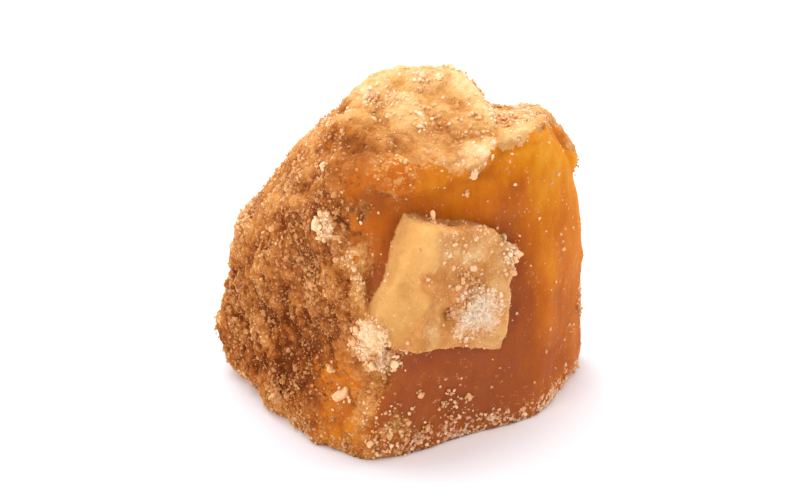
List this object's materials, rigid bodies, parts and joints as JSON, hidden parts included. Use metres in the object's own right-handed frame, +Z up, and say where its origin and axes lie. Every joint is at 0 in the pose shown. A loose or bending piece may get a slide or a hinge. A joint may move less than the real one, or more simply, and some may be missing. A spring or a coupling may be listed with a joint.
{
  "type": "jaggery block",
  "caption": "Broken block of jaggery: smooth amber faces where it broke, a lumpy sugary crust over its crown and back, and a flake of crust still clinging to its front.",
  "frame": {"origin": "middle of the flat base that the block rests on, under the middle of its box", "axes": "+X to the right as the broken front is seen, +Y to the back, +Z up"},
  "size_m": [0.04, 0.037, 0.0375],
  "materials": {
    "jaggery": "hard cane sugar, waxy and slightly see-through where it broke, dull and granular under its pale crust"
  },
  "bodies": {
    "root": {"jaggery_block": "jaggery"}
  },
  "joints": []
}
